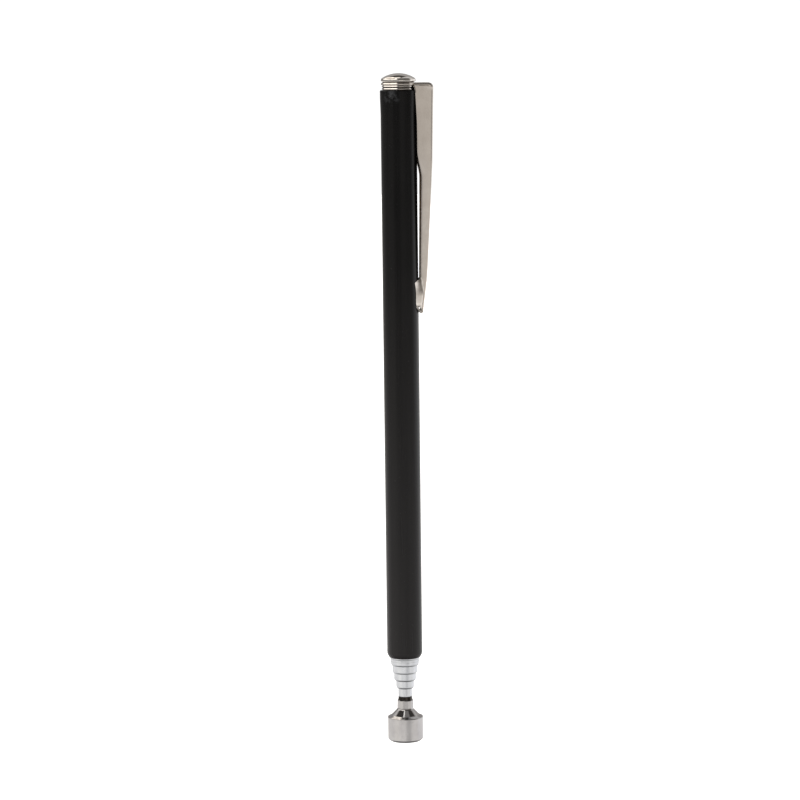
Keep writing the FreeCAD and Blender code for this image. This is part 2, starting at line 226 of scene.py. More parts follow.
def remap(tree, value, low, high, to_low=0.0, to_high=1.0):
    """Value moved from one range to another, and kept inside it."""
    return add_node(tree, "ShaderNodeMapRange", {"clamp": True}, {
        "Value": value, "From Min": low, "From Max": high, "To Min": to_low, "To Max": to_high,
    }).outputs["Result"]


def calculate(tree, operation, first, second=0.0):
    """The result of a Math node; second is left out where the operation takes one value."""
    return add_node(tree, "ShaderNodeMath", {"operation": operation}, {
        0: first, 1: second}).outputs["Value"]


def blend_colours(tree, factor, first, second):
    """The first colour at factor 0 and the second at 1; each is a colour or a socket."""
    mix = add_node(tree, "ShaderNodeMix", {"data_type": "RGBA"}, {0: factor})
    for socket, colour in ((mix.inputs[6], first), (mix.inputs[7], second)):
        if isinstance(colour, bpy.types.NodeSocket):
            tree.links.new(colour, socket)
        else:
            socket.default_value = (*colour, 1.0)
    return mix.outputs[2]


def bump(tree, shader, height, distance, below=None):
    """Relief of the given depth in metres, laid over the relief below it."""
    inputs = {"Height": height, "Distance": distance, "Strength": 1.0}
    if below is not None:
        inputs["Normal"] = below
    node = add_node(tree, "ShaderNodeBump", {}, inputs)
    tree.links.new(node.outputs["Normal"], shader.inputs["Normal"])
    return node.outputs["Normal"]


def split(tree, vector):
    """The X, Y and Z parts of a vector."""
    return add_node(tree, "ShaderNodeSeparateXYZ", {}, {0: vector}).outputs


def axis_distance(tree, place):
    """Distance from the pen's axis."""
    parts = split(tree, place)
    squares = [calculate(tree, "MULTIPLY", parts[each], parts[each]) for each in ("X", "Y")]
    return calculate(tree, "SQRT", calculate(tree, "ADD", *squares))


# ---------------------------------------------------------------- lacquer

# Counts of features per millimetre along X, Y and Z.
LACQUER_CLOUDS = (0.25, 0.25, 0.08)
RUB_MARKS = (3.0, 3.0, 0.06)
DUST_SPECKS = (5.0, 5.0, 5.0)
HIGHLIGHT_PATCHES = (0.9, 0.9, 0.8)
ORANGE_PEEL = (1.3, 1.3, 1.0)
FINE_GRAIN = (8.0, 8.0, 4.0)
PEEL_DEPTH = 0.0035 * MM
FINE_DEPTH = 0.0004 * MM

# The lacquer goes from deep black at the first height to grey at the second, greyer towards the
# mouth.
GREYING_HIGH = 95.0 * MM
GREYING_LOW = 12.0 * MM
DEEP_BLACKS = ((0.0020, 0.0018, 0.0018), (0.0034, 0.0031, 0.0030))
MOUTH_GREY = (0.0150, 0.0138, 0.0140)
# The colour of the painted highlight on the tube's top edge under the cap.
HIGHLIGHT_GREY = (0.036, 0.037, 0.039)
DUST_GREY = (0.09, 0.088, 0.085)
DUST_AMOUNT = 0.25
# The painted highlight on the tube's top edge: its middle and its reach.
HIGHLIGHT_SPOT = (-1.75 * MM, -2.97 * MM, 125.6 * MM)
HIGHLIGHT_REACH = 1.9 * MM


def painted_highlight_mask(tree, place, middle, reach):
    """Mask of a painted highlight: 1 at a place on the object and 0 beyond its reach, broken up by
    noise.
    """
    away = add_node(tree, "ShaderNodeVectorMath", {"operation": "DISTANCE"}, {
        0: place, 1: middle}).outputs["Value"]
    patchy = remap(tree, noise(tree, place, HIGHLIGHT_PATCHES), 0.44, 0.58)
    return calculate(tree, "MULTIPLY", remap(tree, away, 0.3 * reach, reach, 1.0, 0.0), patchy)


def lacquer_material():
    """Black stoved lacquer: orange peel, fine rub marks along the tube and a little dust.

    It is greyer towards the mouth, and has a painted highlight, a lighter grey spot, on the tube's
    top edge under the cap.
    """
    material, tree, shader, place = new_material("black_lacquer", {
        "Metallic": 0.0, "Specular IOR Level": 0.18})
    clouds = noise(tree, place, LACQUER_CLOUDS, detail=4.0)
    rubs = noise(tree, place, RUB_MARKS, detail=5.0)
    dust = noise(tree, place, DUST_SPECKS, detail=2.0)
    specks = calculate(tree, "MULTIPLY", remap(tree, dust, 0.70, 0.76), DUST_AMOUNT)
    tone = blend_colours(tree, remap(tree, clouds, 0.35, 0.65), *DEEP_BLACKS)
    # The lacquer turns greyer towards the mouth.
    towards_mouth = remap(tree, split(tree, place)["Z"], GREYING_HIGH, GREYING_LOW)
    tone = blend_colours(tree, towards_mouth, tone, MOUTH_GREY)
    # Painted highlight: a lighter grey spot on the tube's rounded top edge, under the cap.
    painted_highlight = painted_highlight_mask(tree, place, HIGHLIGHT_SPOT, HIGHLIGHT_REACH)
    tone = blend_colours(tree, painted_highlight, tone, HIGHLIGHT_GREY)
    tone = blend_colours(tree, specks, tone, DUST_GREY)
    tree.links.new(tone, shader.inputs["Base Color"])
    rubbed = remap(tree, rubs, 0.35, 0.75, 0.17, 0.30)
    tree.links.new(calculate(tree, "ADD", rubbed, specks), shader.inputs["Roughness"])
    peel = noise(tree, place, ORANGE_PEEL, detail=2.0)
    fine = noise(tree, place, FINE_GRAIN, detail=2.0)
    below = bump(tree, shader, peel, PEEL_DEPTH)
    bump(tree, shader, fine, FINE_DEPTH, below)
    return material


# ---------------------------------------------------------------- bright metals

# Painted shade on the head above its shoulder: where it starts, its colour and its wavering edge.
HEAD_SHOULDER = 8.05 * MM
SHOULDER_SHADE = (0.075, 0.068, 0.062)
EDGE_FADE = 0.06 * MM
EDGE_WAVER = 0.12 * MM
# Painted shade in the ferrule's grooves below the cap: how deep, how high and its colour.
GROOVE_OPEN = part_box("end_ferrule")[1].x - 0.05 * MM
GROOVE_DEEP = GROOVE_OPEN - 0.06 * MM
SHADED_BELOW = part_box("clip_ring")[1].z + 0.17 * MM
SHADE_FADE = 0.03 * MM
GROOVE_SHADE = (0.055, 0.042, 0.034)

# Counts of lines or grains per millimetre along X, Y and Z: drawn, turned and plain surfaces.
ALONG = (14.0, 14.0, 0.25)
ROUND = (0.35, 0.35, 16.0)
EVEN = (9.0, 9.0, 9.0)
CLOUDS = (0.5, 0.5, 0.35)
SCUFFS = (2.2, 2.2, 2.2)
SCUFF_DARKENING = 0.7
SCUFF_AMOUNT = 0.35
SCUFF_ROUGHENING = 0.10


def plated_material(name, light, dark, roughness, grain, grain_depth, painted_shade=None):
    """Bright metal with lines, clouds and scuffs; the last argument lays painted shade, a darker
    tone, over the colour.
    """
    material, tree, shader, place = new_material(name, {"Metallic": 1.0})
    lines = noise(tree, place, grain, detail=5.0, roughness=0.6)
    clouds = noise(tree, place, CLOUDS)
    scuffs = noise(tree, place, SCUFFS, detail=6.0, roughness=0.7)
    marks = remap(tree, scuffs, 0.60, 0.72)
    tone = blend_colours(tree, remap(tree, clouds, 0.3, 0.7), light, dark)
    scuffed = [SCUFF_DARKENING * each for each in dark]
    tone = blend_colours(tree, calculate(tree, "MULTIPLY", marks, SCUFF_AMOUNT), tone, scuffed)
    if painted_shade:
        tone = painted_shade(tree, place, tone)
    tree.links.new(tone, shader.inputs["Base Color"])
    smooth = remap(tree, lines, 0.3, 0.7, roughness * 0.75, roughness * 1.3)
    roughened = calculate(tree, "MULTIPLY", marks, SCUFF_ROUGHENING)
    rough = calculate(tree, "ADD", smooth, roughened)
    tree.links.new(rough, shader.inputs["Roughness"])
    bump(tree, shader, lines, grain_depth)
    return material


def shaded_shoulder(tree, place, tone):
    """Painted shade: the metal is painted dark above the head's shoulder, with a slightly wavering
    edge.
    """
    waver = calculate(tree, "MULTIPLY", noise(tree, place, CLOUDS), EDGE_WAVER)
    height = calculate(tree, "ADD", split(tree, place)["Z"], waver)
    above = remap(tree, height, HEAD_SHOULDER, HEAD_SHOULDER + EDGE_FADE)
    return blend_colours(tree, above, tone, SHOULDER_SHADE)


def shaded_grooves(tree, place, tone):
    """Painted shade darkens the grooves below the cap's rim."""
    deep = remap(tree, axis_distance(tree, place), GROOVE_DEEP, GROOVE_OPEN, 1.0, 0.0)
    height = split(tree, place)["Z"]
    under = remap(tree, height, SHADED_BELOW, SHADED_BELOW + SHADE_FADE, 1.0, 0.0)
    return blend_colours(tree, calculate(tree, "MULTIPLY", deep, under), tone, GROOVE_SHADE)


lacquer = lacquer_material()
# The cap's finish, with painted shade in the grooves below its rim.
cap_chrome = plated_material(
    "cap_chrome", light=(0.80, 0.76, 0.71), dark=(0.72, 0.67, 0.62), roughness=0.055,
    grain=EVEN, grain_depth=0.0002 * MM, painted_shade=shaded_grooves)
clip_nickel = plated_material(
    "clip_nickel", light=(0.74, 0.685, 0.63), dark=(0.66, 0.605, 0.55), roughness=0.16,
    grain=ALONG, grain_depth=0.0006 * MM)
section_chrome = plated_material(
    "section_chrome", light=(0.66, 0.67, 0.69), dark=(0.56, 0.57, 0.59), roughness=0.15,
    grain=ALONG, grain_depth=0.0005 * MM)
# The head's finish, with painted shade above its shoulder.
head_nickel = plated_material(
    "head_nickel", light=(0.51, 0.495, 0.487), dark=(0.43, 0.415, 0.410), roughness=0.12,
    grain=ROUND, grain_depth=0.0006 * MM, painted_shade=shaded_shoulder)
magnet_nickel = plated_material(
    "magnet_nickel", light=(0.62, 0.62, 0.63), dark=(0.50, 0.50, 0.52), roughness=0.24,
    grain=EVEN, grain_depth=0.0015 * MM)
plug_brass = plated_material(
    "plug_brass", light=(0.70, 0.52, 0.25), dark=(0.55, 0.39, 0.17), roughness=0.26,
    grain=ROUND, grain_depth=0.0012 * MM)
sleeve_bronze = plated_material(
    "sleeve_bronze", light=(0.62, 0.43, 0.27), dark=(0.45, 0.30, 0.18), roughness=0.30,
    grain=ALONG, grain_depth=0.0012 * MM)


# ---------------------------------------------------------------- handle

FLARE = 0.10 * MM
FLARE_LENGTH = 4.5 * MM
FLARE_STRAIGHT = 1.6 * MM
WALL = 0.40 * MM
MOUTH_OPENING = 2.92 * MM
MOUTH_ROLL_LENGTH = 1.15 * MM
MOUTH_ROLL_DEPTH = 0.45 * MM
BUSH_NOSE = 2.9 * MM
BUSH_TIP = 2.79 * MM
RUNNING_GAP = 0.04 * MM
STEM_RADIUS = 0.99 * MM
STEM_HOLE = 1.0 * MM
RING_HOLE = 1.05 * MM


def make_handle_tube():
    """Drawn and lacquered tube: its top end flared a little, its mouth spun in."""
    low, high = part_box("handle_tube")
    flared = high.x
    outside = flared - FLARE
    bore = outside - WALL
    roll_start = low.z + MOUTH_ROLL_LENGTH
    rolled = rolled_in(outside, roll_start, MOUTH_ROLL_DEPTH, MOUTH_ROLL_LENGTH)
    lip_radius, lip_height = rolled.pop()
    corners = [
        (bore, high.z, 0.06 * MM),
        (flared, high.z, 0.22 * MM),
        (flared - 0.01 * MM, high.z - FLARE_STRAIGHT),
        (outside, high.z - FLARE_LENGTH),
        *rolled,
        (lip_radius, lip_height, 0.05 * MM),
        (MOUTH_OPENING, low.z),
        (MOUTH_OPENING, low.z + MOUTH_ROLL_LENGTH / 2),
        (bore, roll_start),
    ]
    tube = turned_piece("lacquered_tube", corners, lacquer)
    stand_in(tube, "handle_tube")


def make_mouth_bush():
    """Guide bush: its turned nose shows below the handle's spun edge."""
    low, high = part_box("mouth_bush")
    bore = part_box("section_tube_1")[1].x + RUNNING_GAP
    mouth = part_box("handle_tube")[0].z
    corners = [
        (bore, high.z),
        (high.x, high.z, 0.1 * MM),
        (high.x, mouth + MOUTH_ROLL_LENGTH),
        (BUSH_NOSE, mouth + MOUTH_ROLL_LENGTH / 2),
        (BUSH_NOSE, mouth - 0.16 * MM, 0.05 * MM),
        (BUSH_TIP + 0.03 * MM, mouth - 0.34 * MM),
        (BUSH_TIP, low.z, 0.05 * MM),
        (bore, low.z, 0.02 * MM),
    ]
    bush = turned_piece("mouth_bush_nose", corners, section_chrome)
    stand_in(bush, "mouth_bush")


def make_end_ferrule():
    """Ring between the tube's top and the clip, with two turned beads that slant in upwards."""
    low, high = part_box("end_ferrule")
    band = high.x
    groove = band - 0.17 * MM
    bead = 0.27 * MM
    bead_pitch = 0.48 * MM
    slant = 0.06 * MM
    straight = 0.7 * bead
    edge = 0.02 * MM
    first_bead = high.z - 0.08 * MM
    corners = [(STEM_HOLE, high.z), (groove, high.z)]
    for bead_high in (first_bead, first_bead - bead_pitch):
        corners += [
            (groove, bead_high),
            (band - slant, bead_high, edge),
            (band, bead_high - straight, edge),
            (band, bead_high - bead, edge),
            (groove, bead_high - bead),
        ]
    corners += [(groove, low.z), (STEM_HOLE, low.z)]
    ferrule = turned_piece("ferrule_ring", corners, cap_chrome)
    stand_in(ferrule, "end_ferrule")


def make_clip_ring():
    """The clip's ring, its upper edge pressed to a slant."""
    low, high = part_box("clip_ring")
    corners = [
        (RING_HOLE, high.z),
        (high.x - 0.10 * MM, high.z, 0.05 * MM),
        (high.x, high.z - 0.27 * MM, 0.06 * MM),
        (high.x, low.z, 0.08 * MM),
        (RING_HOLE, low.z),
    ]
    ring = turned_piece("clip_clamp_ring", corners, clip_nickel)
    stand_in(ring, "clip_ring")


def make_top_cap():
    """Domed cap with a rounded rim, a thin neck and the stem below."""
    low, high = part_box("top_cap")
    rim = high.x
    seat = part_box("clip_ring")[1].z
    rim_low = seat + 0.2 * MM
    dome_height = 1.05 * MM
    neck = rim - 0.28 * MM
    dome_radius = (dome_height ** 2 + rim ** 2) / (2 * dome_height)
    dome_steps = 24
    rim_rounding = 0.5 * MM
    # The dome's own points stop short of the rounding, so that the two don't overlap.
    dome_end = math.asin((rim - 0.8 * rim_rounding) / dome_radius)
    corners = []
    for step in range(dome_steps + 1):
        angle = dome_end * step / dome_steps
        sag = dome_radius * (1 - math.cos(angle))
        corners.append((dome_radius * math.sin(angle), high.z - sag))
    corners += [
        (rim, high.z - dome_height, rim_rounding),
        (rim, rim_low, 0.16 * MM),
        (neck, rim_low, 0.03 * MM),
        (neck, seat),
        (STEM_RADIUS, seat),
        (STEM_RADIUS, low.z, 0.1 * MM),
        (0.0, low.z),
    ]
    cap = turned_piece("domed_cap", corners, cap_chrome)
    stand_in(cap, "top_cap")


# ---------------------------------------------------------------- telescoping sections

SECTION_WALL = 0.16 * MM
LIP_LENGTH = 0.45 * MM
LIP_EDGE = 0.12 * MM


def make_section(number):
    """Drawn tube with its mouth rolled in to just clear the next tube."""
    node = "section_tube_%d" % number
    low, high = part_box(node)
    outside = high.x
    bore = outside - SECTION_WALL
    last = number == SECTIONS
    if last:
        lip = bore
    else:
        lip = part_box("section_tube_%d" % (number + 1))[1].x + RUNNING_GAP
    lip_corner = lip + LIP_EDGE
    rolled = rolled_in(outside, low.z + LIP_LENGTH, outside - lip_corner, LIP_LENGTH)
    corners = [
        (bore, high.z),
        (outside, high.z),
        *rolled[:-1],
        (lip_corner, low.z, 0.03 * MM),
        (lip, low.z, 0.02 * MM),
    ]
    if not last:
        corners += [(lip, low.z + LIP_EDGE), (bore, low.z + LIP_LENGTH)]
    tube = turned_piece("drawn_section_%d" % number, corners, section_chrome)
    stand_in(tube, node)


# ---------------------------------------------------------------- magnet head

# Heights of the head's steps above the magnet's face, and radii there.
SPIGOT_LOW = 8.74 * MM
NECK_HIGH = 7.95 * MM
CONE_HIGH = 6.25 * MM
CONE_LOW = 5.06 * MM
CUP_HIGH = 4.72 * MM
SHOULDER_TOP_RADIUS = 1.33 * MM
SHOULDER_RADIUS = 1.42 * MM
NECK_RADIUS = 1.6 * MM
CONE_LOW_RADIUS = 2.74 * MM
CUP_CHAMFER = 0.38 * MM
FITTING_GAP = 0.01 * MM


def make_magnet_holder():
    """Turned head: shoulder, neck, hollow-flared cone and the cup."""
    low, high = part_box("magnet_holder")
    outside = high.x
    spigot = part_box("section_tube_5")[1].x - SECTION_WALL - FITTING_GAP
    magnet_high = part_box("magnet")[1]
    pocket = magnet_high.x + FITTING_GAP
    pocket_top = magnet_high.z + FITTING_GAP
    corners = [
        (0.0, high.z),
        (spigot, high.z, 0.15 * MM),
        (spigot, SPIGOT_LOW),
        (SHOULDER_TOP_RADIUS, SPIGOT_LOW, 0.05 * MM),
        (SHOULDER_RADIUS, NECK_HIGH + 0.12 * MM, 0.03 * MM),
        (NECK_RADIUS - 0.04 * MM, NECK_HIGH, 0.06 * MM),
        (NECK_RADIUS, CONE_HIGH, 0.5 * MM),
        (CONE_LOW_RADIUS, CONE_LOW, 0.5 * MM),
        (outside, CUP_HIGH, 0.16 * MM),
        (outside, low.z + CUP_CHAMFER, 0.25 * MM),
        (outside - CUP_CHAMFER, low.z, 0.10 * MM),
        (pocket, low.z, 0.03 * MM),
        (pocket, pocket_top),
        (0.0, pocket_top),
    ]
    holder = turned_piece("turned_head", corners, head_nickel)
    stand_in(holder, "magnet_holder")


def make_magnet():
    """Button magnet with rounded edges, flush with the cup."""
    low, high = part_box("magnet")
    corners = [
        (0.0, high.z),
        (high.x, high.z, 0.1 * MM),
        (high.x, low.z, 0.1 * MM),
        (0.0, low.z),
    ]
    magnet = turned_piece("button_magnet", corners, magnet_nickel)
    stand_in(magnet, "magnet")


# ---------------------------------------------------------------- pocket clip: sizes

# The clip is one pressed sheet, built from cross-sections. A place on it is its reach from the
# pen's axis and its height. The web is the side furthest from the handle, and each of the two
# wings is folded from the web towards the handle and ends in a free edge.

clip_low, clip_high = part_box("clip_arm")
SHEET = 0.45 * MM
TOE_SHEET = 0.28 * MM
THIN_BELOW = 85 * MM
THINNING_LENGTH = 5 * MM
WEB_PARTS = 4
FOLD_PARTS = 6
EDGE_CHAMFER = 0.06 * MM
OUTER_CHAMFER_SHARE = 0.3
MOST_PINCH = 0.4

HANDLE_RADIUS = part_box("handle_tube")[1].x - FLARE
HANDLE_CLEARANCE = HANDLE_RADIUS + 0.08 * MM
FLARED_CLEARANCE = HANDLE_CLEARANCE + FLARE
HEAD_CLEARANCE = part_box("clip_ring")[1].x + 0.05 * MM

# Top plate and bend. The shares are where along the plate it has a cross-section.
CLIP_BEND = 1.0 * MM
BEND_STEPS = 12
PLATE_FOLD = 0.4 * MM
PLATE_SHEET = SHEET - 0.02 * MM
PLATE_SHARES = (0.0, 0.03, 0.3, 0.65, 1.0)
STUB = 0.10 * MM
STUB_GAP = 0.03 * MM
STUB_FLARE = 0.5
WING_SEAM = 0.07 * MM

# The web's outer side, and its half widths.
WEB_TOP = Vector((clip_high.x, clip_high.z - CLIP_BEND))
KNEE = Vector((6.28 * MM, 113.5 * MM))
HEEL = Vector((5.08 * MM, 91.0 * MM))
TOE_BEND = 0.42 * MM
TOE = Vector((4.24 * MM, clip_low.z + TOE_BEND))
WEB_LINE = (WEB_TOP, KNEE, HEEL, TOE)
WEB_BLEND = 3 * MM
WEB_STEPS = 56
WEB_LOW = 91.15 * MM
SLOPE_STEP = 0.1 * MM
TOP_HALF_WIDTH = 2.1 * MM
TOE_HALF_WIDTH = 1.35 * MM
WIDTH_LINE = (
    (TOP_HALF_WIDTH, clip_high.z),
    (1.95 * MM, KNEE.y),
    (1.4 * MM, HEEL.y + 0.5 * MM),
    (TOE_HALF_WIDTH, clip_low.z),
)
LOW_FOLD = 0.28 * MM
HIGH_FOLD = 0.5 * MM
FOLD_GROWS_ABOVE = 104 * MM
FOLD_GROWTH_LENGTH = 14 * MM
SMALLEST_FOLD = 0.03 * MM

# The wing's free edge: a slanted cheek, an S-shaped step and a straight run.
CHEEK_TOP_REACH = 2.57 * MM
CHEEK_REACH = 3.26 * MM
CHEEK_LOW = 115.2 * MM
CHEEK_LINE = (
    (CHEEK_TOP_REACH, clip_high.z - SHEET),
    (2.95 * MM, 126.6 * MM),
    (3.22 * MM, 121.0 * MM),
    (CHEEK_REACH, 118.0 * MM),
    (CHEEK_REACH, CHEEK_LOW),
)
STEP_LOW = 110.0 * MM
WING_REACH = 4.10 * MM
WING_LOW_REACH = 3.77 * MM
WING_CROWN = 0.035 * MM
CROWN_LENGTH = 12 * MM

# The crease between the wing and the flap that flares out from it.
PLAIN_FLARE = 0.06
MOST_FLARE = 0.96
FLARE_CURVE = 1.25
CREASE_HIGH = 90.95 * MM
CREASE_LOW = 87.1 * MM
CREASE_HIGH_REACH = 3.82 * MM
CREASE_LOW_REACH = 4.45 * MM
CREASE_DEPTH = 0.07 * MM
CREASE_SHARE = 0.07
CREASE_ONSET = 0.25

# The flap's free edge from the top down, in millimetres: height of the cross-section on the web,
# then reach and height of the edge. It curves in to the handle, runs down it and curves out.
FLAP_EDGE = (
    (90.85, 3.78, 90.80),
    (90.55, 3.55, 90.60),
    (90.25, 3.05, 90.40),
    (90.00, 2.66, 90.15),
    (89.75, 2.46, 89.92),
    (89.45, 2.50, 89.58),
    (89.05, 2.59, 89.12),
    (88.45, 2.64, 88.45),
    (87.85, 2.66, 87.85),
    (87.25, 2.66, 87.25),
    (86.65, 2.66, 86.65),
    (86.15, 2.67, 85.98),
    (85.85, 2.72, 85.60),
    (85.55, 3.05, 85.40),
    (85.25, 3.45, 85.15),
    (84.95, 3.72, 84.93),
)
FLAP_HALF_WIDTH = 2.4 * MM
MOST_HUG = FLAP_HALF_WIDTH + 0.1 * MM

# Toe bend and bottom flap. The shares are where along the flap it has a cross-section.
TOE_START = TOE.y + 0.2 * MM
TOE_ABOVE = TOE.y + 0.55 * MM
TOE_STEPS = 10
TOE_FOLD = 0.2 * MM
TOE_SLOPE = math.radians(50)
BOTTOM_HALF_WIDTH = TOE_HALF_WIDTH + 0.1 * MM
BOTTOM_SHARES = (0.2, 0.4, 0.6, 0.8, 0.95, 1.0)
BOTTOM_REACH = HANDLE_CLEARANCE - 0.03 * MM

# One cross-section: the middle of the web's outer side and the normal there, half of the width,
# the outer radius of the fold, the free edge on the outer and the inner face, the sheet's
# thickness, the share of the wing's width that flares out, and how far the wing is crowned.
Station = namedtuple(
    "Station", "web normal half_width fold free free_inner thickness flare_share crown")


# ---------------------------------------------------------------- pocket clip: cross-sections

def between(low, high, share):
    return low + (high - low) * share


def eased(share):
    """A share from 0 to 1 that starts and ends gently."""
    share = min(max(share, 0.0), 1.0)
    return share * share * (3 - 2 * share)


def along_line(points, height):
    """Value at a height on a line of (value, height) points, given from the top down."""
    for upper, lower in zip(points, points[1:]):
        if height >= lower[1]:
            return between(upper[0], lower[0], (upper[1] - height) / (upper[1] - lower[1]))
    return points[-1][0]


def fold_radius_at(height):
    return between(LOW_FOLD, HIGH_FOLD, eased((height - FOLD_GROWS_ABOVE) / FOLD_GROWTH_LENGTH))


def sheet_at(height):
    return between(TOE_SHEET, SHEET, eased((height - THIN_BELOW) / THINNING_LENGTH))


def wing_shares(flare_share):
    """Shares of a wing's width from the fold, closer together beside the crease."""
    crease = 1 - flare_share
    flat = [crease * share for share in (0.2, 0.4, 0.6, 0.8, 0.93, 1.0)]
    flared = [crease + flare_share * share for share in (0.08, 0.25, 0.45, 0.7)]
    return flat + flared


def half_section(station, depth, free):
    """Points from the middle of the web to one wing's free edge, at a depth in the sheet."""
    normal = station.normal
    across = Vector((0, 1, 0))
    web = station.web - normal * depth
    fold = max(station.fold - depth, SMALLEST_FOLD)
    flat = station.half_width - depth - fold
    points = [web + across * flat * row / WEB_PARTS for row in range(WEB_PARTS + 1)]
    fold_centre = web - normal * fold + across * flat
    for row in range(1, FOLD_PARTS + 1):
        angle = math.pi / 2 * row / FOLD_PARTS
        points.append(fold_centre + (normal * math.cos(angle) + across * math.sin(angle)) * fold)
    root = fold_centre + across * fold
    flare_share = station.flare_share
    crease = 1 - flare_share
    pressed = CREASE_DEPTH * eased((flare_share - PLAIN_FLARE) / CREASE_ONSET)
    for share in wing_shares(flare_share):
        point = root.lerp(free, share)
        flare = max(share - crease, 0.0) / flare_share
        point.y = between(root.y, free.y, flare ** FLARE_CURVE)
        point.y += station.crown * 4 * share * (1 - share) * (1 - flare)
        point.y -= pressed * max(1 - abs(share - crease) / CREASE_SHARE, 0.0)
        points.append(point)
    return points


def set_back(edge, neighbour, distance):
    """The point at a distance from an edge towards its neighbour, or halfway if they are close."""
    length = (edge - neighbour).length
    return edge.lerp(neighbour, distance / length if length > EDGE_CHAMFER else 0.5)


def mirrored(points):
    """Points of the near side, the middle and the far side, in one row."""
    near = [Vector((point.x, -point.y, point.z)) for point in reversed(points[1:])]
    return near + points


def section_rows(station):
    """Outer and inner points across the whole clip, edge to edge, with chamfered edges."""
    free, free_inner = station.free, station.free_inner
    outer = half_section(station, 0.0, free)
    inner = half_section(station, station.thickness, free_inner)
    rim_share = EDGE_CHAMFER / (free_inner - free).length
    outer.append(set_back(free, outer[-1], OUTER_CHAMFER_SHARE * EDGE_CHAMFER))
    outer.append(free.lerp(free_inner, rim_share))
    inner.append(set_back(free_inner, inner[-1], EDGE_CHAMFER))
    inner.append(free_inner.lerp(free, rim_share))
    return mirrored(outer), mirrored(inner)


def pinched(outer, inner):
    """An end row drawn in by the chamfer from both faces."""
    drawn_outer = []
    drawn_inner = []
    for first, second in zip(outer, inner):
        share = min(EDGE_CHAMFER / (second - first).length, MOST_PINCH)
        drawn_outer.append(first.lerp(second, share))
        drawn_inner.append(second.lerp(first, share))
    return drawn_outer, drawn_inner


def winged_row(web, normal, half_width, fold, edge, thickness, flare_share, clearance, crown=0.0):
    """A row with wings; edge is the free edge's reach and height.

    Where the edge reaches inside the clearance round the pen's axis, the wing spreads to hug it.
    """
    reach, height = edge
    hug = math.sqrt(max(clearance ** 2 - reach ** 2, 0.0))
    flared = max(half_width, min(hug, MOST_HUG))
    inner_y = flared - thickness
    inner_reach = max(reach, math.sqrt(max(clearance ** 2 - inner_y ** 2, 0.0)))
    free = Vector((reach, flared, height))
    free_inner = Vector((inner_reach, inner_y, height))
    return section_rows(Station(web, normal, half_width, fold, free, free_inner, thickness,
                                flare_share, crown))


def stub_row(web, normal, half_width, fold, thickness):
    """A row without wings: only the sheet's turned edges."""
    edge = web - normal * (thickness + STUB_GAP + STUB)
    free = Vector((edge.x, half_width, edge.z))
    free_inner = Vector((edge.x, half_width - thickness, edge.z))
    return section_rows(Station(web, normal, half_width, fold, free, free_inner, thickness,
                                STUB_FLARE, 0.0))


# ---------------------------------------------------------------- pocket clip: lengths

def plate_rows():
    """Top plate, from the seam at the ring to the bend."""
    rows = []
    web = Vector((WEB_TOP.x - CLIP_BEND, 0, clip_high.z))
    up = Vector((0, 0, 1))
    for share in PLATE_SHARES:
        outer, inner = stub_row(web, up, TOP_HALF_WIDTH, PLATE_FOLD, PLATE_SHEET)
        if share == 0.0:
            outer, inner = pinched(outer, inner)
        for point in outer + inner:
            seam = math.sqrt(HEAD_CLEARANCE ** 2 - point.y ** 2)
            point.x = between(seam, web.x, share)
        rows.append((outer, inner))
    return rows


def bend_rows():
    """The bend from the plate to the web, with the top of the wings fanned under the plate."""
    rows = []
    centre = Vector((WEB_TOP.x - CLIP_BEND, 0, WEB_TOP.y))
    wing_top = clip_high.z - SHEET - STUB - WING_SEAM
    for step in range(BEND_STEPS):
        angle = math.pi / 2 * (1 - step / BEND_STEPS)
        normal = Vector((math.cos(angle), 0, math.sin(angle)))
        web = centre + normal * CLIP_BEND
        inward = 1 - step / (BEND_STEPS - 1)
        edge = (between(CHEEK_TOP_REACH, centre.x, inward), wing_top)
        fold = between(HIGH_FOLD, PLATE_FOLD, math.sin(angle))
        rows.append(winged_row(web, normal, TOP_HALF_WIDTH, fold, edge, SHEET, PLAIN_FLARE,
                               HEAD_CLEARANCE))
    return rows


def free_reach_at(height):
    """Reach of the wing's free edge above the flap."""
    if height > CHEEK_LOW:
        return along_line(CHEEK_LINE, height)
    if height > STEP_LOW:
        down = eased((CHEEK_LOW - height) / (CHEEK_LOW - STEP_LOW))
        return between(CHEEK_REACH, WING_REACH, down)
    down = (STEP_LOW - height) / (STEP_LOW - CREASE_HIGH)
    return between(WING_REACH, WING_LOW_REACH, down)


def web_at(height):
    """Point on the web's outer side and its normal, the knee and heel rounded."""
    if TOE.y + WEB_BLEND <= height <= WEB_TOP.y - WEB_BLEND:
        half_span = WEB_BLEND / 2
        offsets = [half_span * share for share in (-1, -0.5, 0, 0.5, 1)]
    else:
        half_span = SLOPE_STEP
        offsets = [0.0]
    reach = sum(along_line(WEB_LINE, height + offset) for offset in offsets) / len(offsets)
    above = along_line(WEB_LINE, height + half_span)
    below = along_line(WEB_LINE, height - half_span)
    slope = (above - below) / (2 * half_span)
    return Vector((reach, 0, height)), Vector((1, 0, -slope)).normalized()


def wing_rows():
    """The web with its two wings, from the top bend down to the foot."""
    rows = []
    for step in range(WEB_STEPS + 1):
        height = between(WEB_TOP.y, WEB_LOW, step / WEB_STEPS)
        web, normal = web_at(height)
        crown = WING_CROWN * eased((WEB_TOP.y - height) / CROWN_LENGTH)
        rows.append(winged_row(web, normal, along_line(WIDTH_LINE, height),
                               fold_radius_at(height), (free_reach_at(height), height), SHEET,
                               PLAIN_FLARE, FLARED_CLEARANCE, crown))
    return rows


